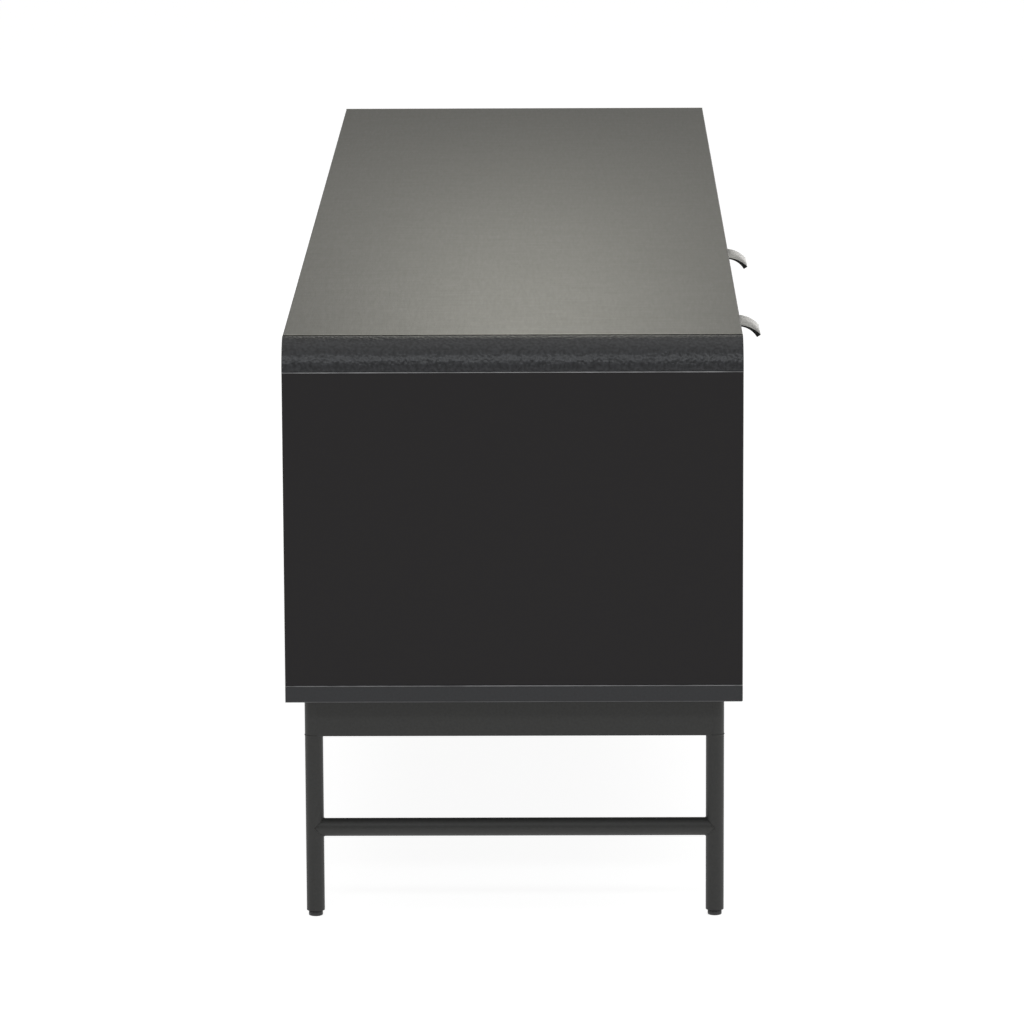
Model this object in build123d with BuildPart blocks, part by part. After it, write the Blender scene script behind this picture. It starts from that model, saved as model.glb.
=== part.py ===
from build123d import *

import os

# A long, low drawer cabinet on a slim tube frame, in millimetres. +Z is up, +X runs along the
# length, and the front faces -Y. The origin is on the floor, in the middle of the whole object,
# counting the lips of the drawer pulls that stand out in front. Seen from the front, two deep
# drawers side by side fill the left half, and the right half is an open bay with one shelf.

os.makedirs("parts", exist_ok=True)

# Overall size
length = 1600.0
depth = 400.0
height = 520.0
body_height = 321.0

# Boards of the body
panel = 16.0
bottom_thickness = 15.0
back_thickness = 8.0
back_rabbet = 6.0
back_play = 0.5
corner_radius = 28.0
arris = 0.8

# Open bay
shelf_setback = 20.0
shelf_rear_gap = 2.0
shelf_end_gap = 2.0
pin_radius = 2.5
pin_depth = 9.0
pin_reach = 8.0
pin_collar_radius = 4.5
pin_collar_thickness = 1.5
pin_inset = 37.0
pin_pitch = 32.0
pin_rows = 5

# Drawer fronts and boxes
front_thickness = 18.0
front_side_gap = 2.0
front_top_gap = 2.0
front_bottom_gap = 3.0
front_arris = 0.6
box_thickness = 12.0
box_edge = 2.0
box_floor_gap = 18.0
box_top_gap = 42.0
box_rear_gap = 24.0
tray_thickness = 5.0
tray_height = 12.0
groove_depth = 6.0
groove_play = 0.3

# Lip pull on the top edge of each drawer front
pull_length = 58.0
pull_wall = 1.2
pull_projection = 20.5
pull_drop = 8.9
pull_tip_depth = 3.5
pull_tip_drop = 2.1
pull_back_height = 14.0
pull_screw_spacing = 32.0
pull_screw_drop = 7.5

# Three-part telescopic runners, one pair to a drawer
runner_thickness = 12.7
runner_height = 45.0
runner_steel = 1.2
runner_race = 2.3
runner_web_gap = 1.3
runner_lip_gap = 0.5
runner_setback = 2.0
runner_screw_inset = 30.0
runner_screws_each = 3

# Fasteners
dowel_radius = 3.0
dowel_length = 30.0
dowel_shallow = 8.0
dowel_inset = 45.0
dowel_play = 0.1
dowel_end_play = 0.5
cam_radius = 7.5
cam_depth = 12.0
cam_distance = 24.0
cam_inset = 80.0
cam_slot_width = 1.6
cam_slot_depth = 1.5
cam_slot_length = 10.5
bolt_radius = 3.0
bolt_shallow = 8.0
bolt_play = 0.15
screw_radius = 1.75
screw_head_radius = 3.2
screw_head_height = 1.2
screw_length = 8.4
screw_play = 0.1
nail_radius = 0.8
nail_head_radius = 1.9
nail_head_height = 0.8
nail_length = 20.0
nail_pitch_count = 8
nail_side_rows = 3

# Steel frame
tube_diameter = 16.0
tube_wall = 1.5
rail_height = 35.0
rail_thickness = 15.0
rail_wall = 1.5
frame_end_inset = 20.0
frame_side_inset = 15.5
stretcher_z = 80.0
stretcher_flat = 2.0
tab_length = 34.0
tab_reach = 24.0
tab_thickness = 2.5
tab_end_inset = 240.0
tab_count = 4
tab_screw_radius = 2.0
tab_screw_head_radius = 4.0
tab_screw_head_height = 2.5
tab_screw_bite = 11.0

# Levelling feet
foot_radius = 6.25
foot_height = 4.5
foot_gap = 0.5
foot_edge = 0.6
stud_radius = 3.0
stud_length = 26.0
stud_play = 0.05
insert_height = 15.0

# Places that follow from the sizes above
front_y = (pull_projection - depth) / 2
back_y = front_y + depth
middle_y = (front_y + back_y) / 2
end_x = length / 2
inner_x = end_x - panel
underside_z = height - body_height
floor_z = underside_z + bottom_thickness
ceiling_z = height - panel
corner_z = height - corner_radius
column_width = (2 * inner_x - 3 * panel) / 4
drawer_divider_x = -(column_width + panel)
dowel_deep = dowel_length - dowel_shallow
dowel_rows = (front_y + dowel_inset, middle_y, back_y - dowel_inset)
cam_rows = (front_y + cam_inset, back_y - cam_inset)
front_back_y = front_y + front_thickness
front_high_z = ceiling_z - front_top_gap
box_end_y = back_y - back_thickness - box_rear_gap
box_low_z = floor_z + box_floor_gap
box_high_z = ceiling_z - box_top_gap
tray_z = box_low_z + tray_height
runner_z = (box_low_z + box_high_z) / 2
runner_y = front_back_y + runner_setback
tube_radius = tube_diameter / 2
bore_radius = tube_radius - tube_wall
leg_x = end_x - frame_end_inset - tube_radius
leg_front_y = front_y + frame_side_inset + tube_radius
leg_back_y = back_y - frame_side_inset - tube_radius
leg_low_z = foot_height + foot_gap
rail_low_z = underside_z - rail_height
pin_front_y = front_y + shelf_setback + pin_inset
pin_back_y = back_y - back_thickness - shelf_rear_gap - pin_inset
shelf_low_z = (floor_z + ceiling_z - panel) / 2
pin_z = shelf_low_z - pin_radius
drawers = {
    "drawer_1": (-inner_x, drawer_divider_x - panel / 2),
    "drawer_2": (drawer_divider_x + panel / 2, -panel / 2),
}


def keep(piece, node):
    """Labels a finished piece and writes it to its own file."""
    piece.part.label = node
    export_step(piece.part, f"parts/{node}.step")


def board(low, high, mode=Mode.ADD):
    """A board between two opposite corners."""
    middle = tuple((a + b) / 2 for a, b in zip(low, high))
    with Locations(middle):
        Box(*[b - a for a, b in zip(low, high)], mode=mode)


def rod(start, direction, radius, reach, mode=Mode.ADD):
    """A round bar from a point along a direction."""
    with Locations(Plane(origin=start, z_dir=direction)):
        Cylinder(radius, reach, align=(Align.CENTER, Align.CENTER, Align.MIN), mode=mode)


def along(point, direction, distance):
    """The point a distance away along a direction."""
    return tuple(p + d * distance for p, d in zip(point, direction))


def ease(edges):
    """Takes the sharp edge off a board with a small chamfer."""
    chamfer(edges, arris)


# Dowels: a point on the joint, and the direction of the board that takes the long end
def end_to_bottom(side):
    return [((side * (end_x - panel / 2), y, floor_z), (0, 0, 1)) for y in dowel_rows]


def end_to_corner(side):
    return [((side * (end_x - panel / 2), y, corner_z), (0, 0, -1)) for y in dowel_rows]


def corner_to_top(side):
    x = side * (end_x - corner_radius)
    return [((x, y, height - panel / 2), (-side, 0, 0)) for y in dowel_rows]


def divider_to_bottom(x):
    return [((x, y, floor_z), (0, 0, 1)) for y in dowel_rows]


def divider_to_top(x):
    return [((x, y, ceiling_z), (0, 0, -1)) for y in dowel_rows]


def add_dowels(joints):
    for point, direction in joints:
        rod(along(point, direction, -dowel_shallow), direction, dowel_radius, dowel_length)


def drill_dowels(joints):
    for point, direction in joints:
        start = along(point, direction, -dowel_shallow - dowel_end_play)
        reach = dowel_length + 2 * dowel_end_play
        rod(start, direction, dowel_radius + dowel_play, reach, Mode.SUBTRACT)


# Cam joints: a point on the joint, the direction into the upright, and the face of the upright
# that the drum is set into, as its X and the direction in which the drum sinks
def upright_cams(x, face_x, sink, top):
    levels = [(floor_z, (0, 0, 1))]
    if top:
        levels.append((ceiling_z, (0, 0, -1)))
    return [((x, y, z), up, face_x, sink) for y in cam_rows for z, up in levels]


def end_cams(side):
    return upright_cams(side * (end_x - panel / 2), side * inner_x, side, False)


def divider_cams(x):
    return upright_cams(x, x - panel / 2, 1, True)


def drill_cams(joints):
    for point, up, face_x, sink in joints:
        centre_z = point[2] + up[2] * cam_distance
        rod((face_x, point[1], centre_z), (sink, 0, 0), cam_radius + bolt_play, cam_depth, Mode.SUBTRACT)
        start = along(point, up, -bolt_shallow - bolt_play)
        rod(start, up, bolt_radius + bolt_play, bolt_shallow + cam_distance, Mode.SUBTRACT)


# Small countersunk screws: the place of the head's face, and the direction in which it drives
def add_screws(places):
    for point, direction in places:
        with Locations(Plane(origin=point, z_dir=direction)):
            start = (Align.CENTER, Align.CENTER, Align.MIN)
            Cone(screw_head_radius, screw_radius, screw_head_height, align=start)
        rod(point, direction, screw_radius, screw_length)


def drill_screws(places):
    for point, direction in places:
        with Locations(Plane(origin=point, z_dir=direction)):
            start = (Align.CENTER, Align.CENTER, Align.MIN)
            wide = screw_head_radius + screw_play
            narrow = screw_radius + screw_play
            Cone(wide, narrow, screw_head_height, align=start, mode=Mode.SUBTRACT)
        rod(point, direction, screw_radius + screw_play, screw_length + screw_play, Mode.SUBTRACT)


# Nails that hold the back panel, each by its X and Z
nail_span = inner_x - panel
top_nails = [
    (-nail_span + 2 * nail_span * step / (nail_pitch_count - 1), ceiling_z + back_rabbet / 2)
    for step in range(nail_pitch_count)
]
bottom_nails = [(x, floor_z - back_rabbet / 2) for x, z in top_nails]
nail_levels = [
    floor_z + (ceiling_z - floor_z) * (row + 1) / (nail_side_rows + 1) for row in range(nail_side_rows)
]


def side_nails(side):
    return [(side * (inner_x + back_rabbet / 2), z) for z in nail_levels]


def divider_nails(x):
    return [(x, z) for z in nail_levels]


def drill_nails(places):
    for x, z in places:
        rod((x, back_y, z), (0, -1, 0), nail_radius + screw_play, nail_length + screw_play, Mode.SUBTRACT)


# Steel runners: the left and right wall of each drawer bay, and the direction into the bay
def runner_walls(bay):
    low_x, high_x = bay
    return {"left": (low_x, 1), "right": (high_x, -1)}


def runner_screw_rows():
    first = runner_y + runner_screw_inset
    last = box_end_y - runner_screw_inset
    gap = (last - first) / (runner_screws_each - 1)
    return [first + gap * step for step in range(runner_screws_each)]


def cabinet_member_screws(wall_x, inward):
    head_x = wall_x + inward * runner_steel
    return [((head_x, y, runner_z), (-inward, 0, 0)) for y in runner_screw_rows()]


def drawer_member_screws(wall_x, inward):
    head_x = wall_x + inward * (runner_thickness - runner_steel)
    return [((head_x, y, runner_z), (inward, 0, 0)) for y in runner_screw_rows()]


def channel(web_x, edge_x, inward, half_height):
    """A C-shaped steel strip along Y: its web at web_x, and its two lips ending at edge_x."""
    web_end_x = web_x + inward * runner_steel
    low_y, high_y = runner_y, box_end_y
    board(
        (min(web_x, web_end_x), low_y, runner_z - half_height),
        (max(web_x, web_end_x), high_y, runner_z + half_height),
    )
    for level in (-1, 1):
        outer_z = runner_z + level * half_height
        inner_z = outer_z - level * runner_steel
        board(
            (min(web_x, edge_x), low_y, min(outer_z, inner_z)),
            (max(web_x, edge_x), high_y, max(outer_z, inner_z)),
        )


def channel_bends(member, web_x, half_height):
    """The two long outer edges where a channel's web turns into its lips."""
    near = runner_steel / 10
    at_web = member.edges().filter_by(Axis.Y).filter_by_position(Axis.X, web_x - near, web_x + near)
    return at_web.filter_by(lambda edge: abs(edge.center().Z - runner_z) > half_height - near)


# Body
def make_top_panel():
    with BuildPart() as top_panel:
        edge_x = end_x - corner_radius
        board((-edge_x, front_y, ceiling_z), (edge_x, back_y, height))
        ease(top_panel.faces().sort_by(Axis.Z)[-1].edges())
        rabbet_y = back_y - back_thickness
        board(
            (-edge_x, rabbet_y, ceiling_z), (edge_x, back_y, ceiling_z + back_rabbet), Mode.SUBTRACT
        )
        for side in (-1, 1):
            drill_dowels(corner_to_top(side))
        for x in (drawer_divider_x, 0):
            drill_dowels(divider_to_top(x))
            drill_cams(divider_cams(x))
        drill_nails(top_nails)
    keep(top_panel, "top_panel")


def make_corner_profile(side, node):
    outer_x = side * end_x
    seam_x = side * (end_x - corner_radius)
    inside_x = side * inner_x
    rise = corner_radius * (1 - 0.5**0.5)
    with BuildPart() as corner:
        with BuildSketch(Plane.XZ.offset(-back_y)):
            with BuildLine():
                ThreePointArc(
                    (outer_x, corner_z), (outer_x - side * rise, height - rise), (seam_x, height)
                )
                Polyline(
                    (seam_x, height),
                    (seam_x, ceiling_z),
                    (inside_x, ceiling_z),
                    (inside_x, corner_z),
                    (outer_x, corner_z),
                )
            make_face()
        extrude(amount=depth)
        seams = corner.edges().filter_by(Axis.Y)
        top_seam = seams.group_by(Axis.Z)[-1]
        side_seam = seams.group_by(Axis.X)[-1 if side > 0 else 0]
        ease(top_seam + side_seam)
        rabbet_x = side * (inner_x + back_rabbet)
        board(
            (min(rabbet_x, seam_x), back_y - back_thickness, corner_z),
            (max(rabbet_x, seam_x), back_y, ceiling_z + back_rabbet),
            Mode.SUBTRACT,
        )
        drill_dowels(end_to_corner(side) + corner_to_top(side))
    keep(corner, node)


def make_end_panel(side, node):
    outer_x = side * end_x
    inside_x = side * inner_x
    with BuildPart() as end:
        board(
            (min(outer_x, inside_x), front_y, floor_z), (max(outer_x, inside_x), back_y, corner_z)
        )
        ease(end.faces().sort_by(Axis.X)[-1 if side > 0 else 0].edges())
        rabbet_x = inside_x + side * back_rabbet
        board(
            (min(inside_x, rabbet_x), back_y - back_thickness, floor_z),
            (max(inside_x, rabbet_x), back_y, corner_z),
            Mode.SUBTRACT,
        )
        drill_dowels(end_to_bottom(side) + end_to_corner(side))
        drill_cams(end_cams(side))
        drill_nails(side_nails(side))
        if side < 0:
            drill_screws(cabinet_member_screws(-inner_x, 1))
        else:
            drill_pin_holes(inner_x, 1)
    keep(end, node)


def make_bottom_panel():
    with BuildPart() as bottom_panel:
        board((-end_x, front_y, underside_z), (end_x, back_y, floor_z))
        ends = bottom_panel.faces().filter_by(Axis.X).edges().filter_by(Axis.Y)
        fronts = bottom_panel.faces().sort_by(Axis.Y)[0].edges().filter_by(Axis.X)
        ease(ends + fronts)
        rabbet_x = inner_x + back_rabbet
        board(
            (-rabbet_x, back_y - back_thickness, floor_z - back_rabbet),
            (rabbet_x, back_y, floor_z),
            Mode.SUBTRACT,
        )
        for side in (-1, 1):
            drill_dowels(end_to_bottom(side))
            drill_cams(end_cams(side))
        for x in (drawer_divider_x, 0):
            drill_dowels(divider_to_bottom(x))
            drill_cams(divider_cams(x))
        drill_nails(bottom_nails)
        for x, y in tab_holes():
            pilot = tab_screw_radius + screw_play
            rod((x, y, underside_z), (0, 0, 1), pilot, tab_screw_bite + screw_play, Mode.SUBTRACT)
    keep(bottom_panel, "bottom_panel")


def make_divider(x, node):
    with BuildPart() as divider:
        board(
            (x - panel / 2, front_y, floor_z), (x + panel / 2, back_y - back_thickness, ceiling_z)
        )
        drill_dowels(divider_to_bottom(x) + divider_to_top(x))
        drill_cams(divider_cams(x))
        drill_nails(divider_nails(x))
        drill_screws(cabinet_member_screws(x - panel / 2, -1))
        if x < 0:
            drill_screws(cabinet_member_screws(x + panel / 2, 1))
        else:
            drill_pin_holes(x + panel / 2, -1)
    keep(divider, node)


def make_back_panel():
    edge_x = inner_x + back_rabbet - back_play
    low_z = floor_z - back_rabbet + back_play
    high_z = ceiling_z + back_rabbet - back_play
    with BuildPart() as back_panel:
        board((-edge_x, back_y - back_thickness, low_z), (edge_x, back_y, high_z))
        places = all_nails()
        drill_nails(places)
        for x, z in places:
            head = nail_head_radius + screw_play
            rod((x, back_y, z), (0, -1, 0), head, nail_head_height, Mode.SUBTRACT)
    keep(back_panel, "back_panel")


def all_nails():
    """Every nail of the back panel, each by its X and Z."""
    ends = side_nails(-1) + side_nails(1)
    dividers = divider_nails(drawer_divider_x) + divider_nails(0)
    return top_nails + bottom_nails + ends + dividers


def make_back_nails():
    with BuildPart() as nails:
        for x, z in all_nails():
            rod((x, back_y, z), (0, -1, 0), nail_radius, nail_length)
            rod((x, back_y, z), (0, -1, 0), nail_head_radius, nail_head_height)
    keep(nails, "back_nails")


def drill_pin_holes(wall_x, sink):
    for row in range(pin_rows):
        z = pin_z + (row - (pin_rows - 1) / 2) * pin_pitch
        for y in (pin_front_y, pin_back_y):
            rod((wall_x, y, z), (sink, 0, 0), pin_radius + screw_play, pin_depth, Mode.SUBTRACT)


def make_shelf():
    low = (panel / 2 + shelf_end_gap, front_y + shelf_setback, shelf_low_z)
    high_y = back_y - back_thickness - shelf_rear_gap
    with BuildPart() as shelf:
        board(low, (inner_x - shelf_end_gap, high_y, shelf_low_z + panel))
        ease(shelf.faces().sort_by(Axis.Y)[0].edges())
    keep(shelf, "shelf")


def make_shelf_pins():
    with BuildPart() as pins:
        for wall_x, inward in ((panel / 2, 1), (inner_x, -1)):
            for y in (pin_front_y, pin_back_y):
                start = (wall_x - inward * (pin_depth - screw_play), y, pin_z)
                rod(start, (inward, 0, 0), pin_radius, pin_depth - screw_play + pin_reach)
                rod((wall_x, y, pin_z), (inward, 0, 0), pin_collar_radius, pin_collar_thickness)
    keep(pins, "shelf_pins")


# Fasteners of the body
def make_dowels():
    joints = []
    for side in (-1, 1):
        joints += end_to_bottom(side) + end_to_corner(side) + corner_to_top(side)
    for x in (drawer_divider_x, 0):
        joints += divider_to_bottom(x) + divider_to_top(x)
    with BuildPart() as dowels:
        add_dowels(joints)
    keep(dowels, "dowels")


def all_cams():
    """Every cam joint of the body."""
    return end_cams(-1) + end_cams(1) + divider_cams(drawer_divider_x) + divider_cams(0)


def make_cam_drums():
    with BuildPart() as drums:
        for point, up, face_x, sink in all_cams():
            centre_z = point[2] + up[2] * cam_distance
            rod((face_x, point[1], centre_z), (sink, 0, 0), cam_radius, cam_depth - bolt_play)
        for point, up, face_x, sink in all_cams():
            centre = (face_x, point[1], point[2] + up[2] * cam_distance)
            with Locations(centre):
                both_ways = 2 * cam_slot_depth
                Box(both_ways, cam_slot_width, cam_slot_length, mode=Mode.SUBTRACT)
                Box(both_ways, cam_slot_length, cam_slot_width, mode=Mode.SUBTRACT)
            start = along(point, up, cam_distance / 2)
            rod(start, up, bolt_radius + 2 * bolt_play, cam_distance / 2, Mode.SUBTRACT)
    keep(drums, "cam_drums")


def make_cam_bolts():
    with BuildPart() as bolts:
        for point, up, face_x, sink in all_cams():
            start = along(point, up, -bolt_shallow)
            rod(start, up, bolt_radius, bolt_shallow + cam_distance - bolt_play)
    keep(bolts, "cam_bolts")


# Steel frame
tab_span = end_x - tab_end_inset
tab_places = [-tab_span + 2 * tab_span * step / (tab_count - 1) for step in range(tab_count)]


def hollow_rail(low, high, run):
    """A rectangular tube between two corners, along X or Y."""
    board(low, high)
    open_low = [a + (0 if axis == run else rail_wall) for axis, a in enumerate(low)]
    open_high = [b - (0 if axis == run else rail_wall) for axis, b in enumerate(high)]
    board(open_low, open_high, Mode.SUBTRACT)


def cope(x, y):
    """Shapes a tube's end round the leg that stands at a place."""
    rod((x, y, leg_low_z), (0, 0, 1), tube_radius, underside_z - leg_low_z, Mode.SUBTRACT)


def make_long_rail(leg_y, back, node):
    half = rail_thickness / 2
    with BuildPart() as rail:
        hollow_rail((-leg_x, leg_y - half, rail_low_z), (leg_x, leg_y + half, underside_z), 0)
        for side in (-1, 1):
            cope(side * leg_x, leg_y)
            split(bisect_by=Plane((side * leg_x, leg_y, 0), z_dir=(-side, back, 0)), keep=Keep.TOP)
        inner_y = leg_y - back * half
        far_y = inner_y - back * tab_reach
        for x in tab_places:
            board(
                (x - tab_length / 2, min(inner_y, far_y), underside_z - tab_thickness),
                (x + tab_length / 2, max(inner_y, far_y), underside_z),
            )
            hole = tab_screw_radius + screw_play
            hole_y = tab_hole_y(leg_y, back)
            start = (x, hole_y, underside_z - tab_thickness)
            rod(start, (0, 0, 1), hole, tab_thickness, Mode.SUBTRACT)
    keep(rail, node)


def tab_hole_y(leg_y, back):
    return leg_y - back * (rail_thickness / 2 + tab_reach / 2)


def tab_holes():
    """The X and Y of every screw that holds the body on the frame."""
    rails = ((leg_front_y, -1), (leg_back_y, 1))
    return [(x, tab_hole_y(leg_y, back)) for leg_y, back in rails for x in tab_places]


def make_end_rail(side, node):
    half = rail_thickness / 2
    x = side * leg_x
    with BuildPart() as rail:
        low = (x - half, leg_front_y, rail_low_z)
        hollow_rail(low, (x + half, leg_back_y, underside_z), 1)
        for leg_y, back in ((leg_front_y, -1), (leg_back_y, 1)):
            cope(x, leg_y)
            split(bisect_by=Plane((x, leg_y, 0), z_dir=(side, -back, 0)), keep=Keep.TOP)
    keep(rail, node)


def make_leg(x, y, node):
    with BuildPart() as leg:
        with BuildSketch(Plane.XY.offset(leg_low_z)):
            with Locations((x, y)):
                Circle(tube_radius)
                Circle(bore_radius, mode=Mode.SUBTRACT)
        extrude(amount=underside_z - leg_low_z)
    keep(leg, node)


def make_stretcher(side, node):
    x = side * leg_x
    low_y = leg_front_y + tube_radius - stretcher_flat
    high_y = leg_back_y - tube_radius + stretcher_flat
    with BuildPart() as stretcher:
        rod((x, low_y, stretcher_z), (0, 1, 0), tube_radius, high_y - low_y)
        rod((x, low_y, stretcher_z), (0, 1, 0), bore_radius, high_y - low_y, Mode.SUBTRACT)
        cope(x, leg_front_y)
        cope(x, leg_back_y)
    keep(stretcher, node)


def make_frame_screws():
    head_z = underside_z - tab_thickness - tab_screw_head_height
    with BuildPart() as screws:
        for x, y in tab_holes():
            rod((x, y, head_z), (0, 0, 1), tab_screw_head_radius, tab_screw_head_height)
            reach = tab_screw_head_height + tab_thickness + tab_screw_bite
            rod((x, y, head_z), (0, 0, 1), tab_screw_radius, reach)
        heads = screws.faces().filter_by(Axis.Z).group_by(Axis.Z)[0].edges()
        fillet(heads, tab_screw_head_height / 2)
    keep(screws, "frame_screws")


# Levelling feet
def make_foot_inserts(places):
    with BuildPart() as inserts:
        with BuildSketch(Plane.XY.offset(leg_low_z)):
            with Locations(*places):
                Circle(bore_radius)
                Circle(stud_radius + stud_play, mode=Mode.SUBTRACT)
        extrude(amount=insert_height)
    keep(inserts, "foot_inserts")


def make_foot(x, y, node):
    with BuildPart() as foot:
        rod((x, y, 0), (0, 0, 1), foot_radius, foot_height)
        fillet(foot.faces().filter_by(Axis.Z).edges(), foot_edge)
        rod((x, y, foot_height), (0, 0, 1), stud_radius, stud_length)
        chamfer(foot.faces().sort_by(Axis.Z)[-1].edges(), foot_edge)
    keep(foot, node)


# Runners
def make_cabinet_member(wall_x, inward, node):
    edge_x = wall_x + inward * (runner_thickness - runner_steel - runner_lip_gap)
    with BuildPart() as member:
        channel(wall_x, edge_x, inward, runner_height / 2)
        fillet(channel_bends(member, wall_x, runner_height / 2), runner_steel)
        drill_screws(cabinet_member_screws(wall_x, inward))
    keep(member, node)


def make_middle_member(wall_x, inward, node):
    web_x = wall_x + inward * (runner_steel + runner_web_gap)
    edge_x = wall_x + inward * (runner_thickness - runner_steel - runner_lip_gap)
    half_height = runner_height / 2 - runner_steel - runner_race
    with BuildPart() as member:
        channel(web_x, edge_x, inward, half_height)
        fillet(channel_bends(member, web_x, half_height), runner_steel)
    keep(member, node)


def make_drawer_member(wall_x, inward, node):
    web_x = wall_x + inward * runner_thickness
    edge_x = wall_x + inward * (2 * (runner_steel + runner_web_gap))
    half_height = runner_height / 2 - 2 * (runner_steel + runner_race)
    with BuildPart() as member:
        channel(web_x, edge_x, -inward, half_height)
        fillet(channel_bends(member, web_x, half_height), runner_steel)
        drill_screws(drawer_member_screws(wall_x, inward))
    keep(member, node)


def make_runner_screws():
    with BuildPart() as screws:
        for bay in drawers.values():
            for wall_x, inward in runner_walls(bay).values():
                add_screws(cabinet_member_screws(wall_x, inward))
    keep(screws, "runner_screws")


# Drawers
def box_span(bay):
    """The outer faces of a drawer box, between its two runners."""
    return bay[0] + runner_thickness, bay[1] - runner_thickness


def drill_groove(bay):
    """The groove that holds a drawer's bottom, cut in each board round it."""
    low_x, high_x = box_span(bay)
    rim = box_thickness - groove_depth
    board(
        (low_x + rim, front_back_y - groove_depth, tray_z - groove_play / 2),
        (high_x - rim, box_end_y - rim, tray_z + tray_thickness + groove_play / 2),
        Mode.SUBTRACT,
    )


def box_dowels(bay):
    """Dowels of one drawer: sides to front, and back between the sides."""
    low_x, high_x = box_span(bay)
    levels = (box_low_z + dowel_inset, box_high_z - dowel_inset)
    joints = []
    for x, inward in ((low_x, 1), (high_x, -1)):
        for z in levels:
            joints.append(((x + inward * box_thickness / 2, front_back_y, z), (0, 1, 0)))
            side_face_x = x + inward * box_thickness
            joints.append(((side_face_x, box_end_y - box_thickness / 2, z), (inward, 0, 0)))
    return joints


def pull_screws(bay):
    """Two screws that hold the pull's rear flange on the back of the front."""
    middle_x = (bay[0] + bay[1]) / 2
    head_y = front_back_y + pull_wall
    z = front_high_z - pull_screw_drop
    half = pull_screw_spacing / 2
    return [((middle_x + offset, head_y, z), (0, -1, 0)) for offset in (-half, half)]


def make_front(bay, node):
    low = (bay[0] + front_side_gap, front_y, floor_z + front_bottom_gap)
    high = (bay[1] - front_side_gap, front_back_y, front_high_z)
    with BuildPart() as front:
        board(low, high)
        chamfer(front.faces().sort_by(Axis.Y)[0].edges(), front_arris)
        drill_groove(bay)
        drill_dowels(box_dowels(bay))
        drill_screws(pull_screws(bay))
    keep(front, node)


def make_box_side(bay, wall, node):
    wall_x, inward = runner_walls(bay)[wall]
    face_x = wall_x + inward * runner_thickness
    far_x = face_x + inward * box_thickness
    with BuildPart() as side:
        board(
            (min(face_x, far_x), front_back_y, box_low_z), (max(face_x, far_x), box_end_y, box_high_z)
        )
        drill_groove(bay)
        drill_dowels(box_dowels(bay))
        drill_screws(drawer_member_screws(wall_x, inward))
        fillet(side.faces().sort_by(Axis.Z)[-1].edges().filter_by(Axis.Y), box_edge)
    keep(side, node)


def make_box_back(bay, node):
    low_x, high_x = box_span(bay)
    with BuildPart() as back:
        board(
            (low_x + box_thickness, box_end_y - box_thickness, box_low_z),
            (high_x - box_thickness, box_end_y, box_high_z),
        )
        drill_groove(bay)
        drill_dowels(box_dowels(bay))
        fillet(back.faces().sort_by(Axis.Z)[-1].edges().filter_by(Axis.X), box_edge)
    keep(back, node)


def make_tray(bay, node):
    low_x, high_x = box_span(bay)
    rim = box_thickness - groove_depth + groove_play
    low = (low_x + rim, front_back_y - groove_depth + groove_play, tray_z)
    with BuildPart() as tray:
        board(low, (high_x - rim, box_end_y - rim, tray_z + tray_thickness))
    keep(tray, node)


def make_pull(bay, node):
    middle_x = (bay[0] + bay[1]) / 2
    high_z = front_high_z + pull_wall
    rear_y = front_back_y + pull_wall
    outer_tip = (front_y - pull_projection, high_z - pull_drop)
    inner_tip = (outer_tip[0] + pull_tip_depth, outer_tip[1] - pull_tip_drop)
    with BuildPart() as pull:
        with BuildSketch(Plane.YZ.offset(middle_x - pull_length / 2)):
            with BuildLine():
                Line((rear_y, high_z), (front_y, high_z))
                TangentArc((front_y, high_z), outer_tip, tangent=(-1, 0))
                Line(outer_tip, inner_tip)
                TangentArc((front_y, front_high_z), inner_tip, tangent=(-1, 0))
                Polyline(
                    (front_y, front_high_z),
                    (front_back_y, front_high_z),
                    (front_back_y, front_high_z - pull_back_height),
                    (rear_y, front_high_z - pull_back_height),
                    (rear_y, high_z),
                )
            make_face()
        extrude(amount=pull_length)
        drill_screws(pull_screws(bay))
    keep(pull, node)


def make_drawer_screws(bay, node):
    with BuildPart() as screws:
        add_screws(pull_screws(bay))
        for wall_x, inward in runner_walls(bay).values():
            add_screws(drawer_member_screws(wall_x, inward))
    keep(screws, node)


def make_drawer_dowels(bay, node):
    with BuildPart() as dowels:
        add_dowels(box_dowels(bay))
    keep(dowels, node)


def make_body():
    make_top_panel()
    for side, name in ((-1, "left"), (1, "right")):
        make_corner_profile(side, f"{name}_corner_profile")
        make_end_panel(side, f"{name}_end_panel")
    make_bottom_panel()
    make_divider(drawer_divider_x, "drawer_divider")
    make_divider(0, "centre_divider")
    make_back_panel()
    make_back_nails()
    make_shelf()
    make_shelf_pins()
    make_dowels()
    make_cam_drums()
    make_cam_bolts()


def make_frame():
    make_long_rail(leg_front_y, -1, "front_rail")
    make_long_rail(leg_back_y, 1, "back_rail")
    places = []
    for side, end in ((-1, "left"), (1, "right")):
        make_end_rail(side, f"{end}_rail")
        make_stretcher(side, f"{end}_stretcher")
        for y, face in ((leg_front_y, "front"), (leg_back_y, "back")):
            places.append((side * leg_x, y))
            make_leg(side * leg_x, y, f"{face}_{end}_leg")
            make_foot(side * leg_x, y, f"{face}_{end}_foot")
    make_foot_inserts(places)
    make_frame_screws()


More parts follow.
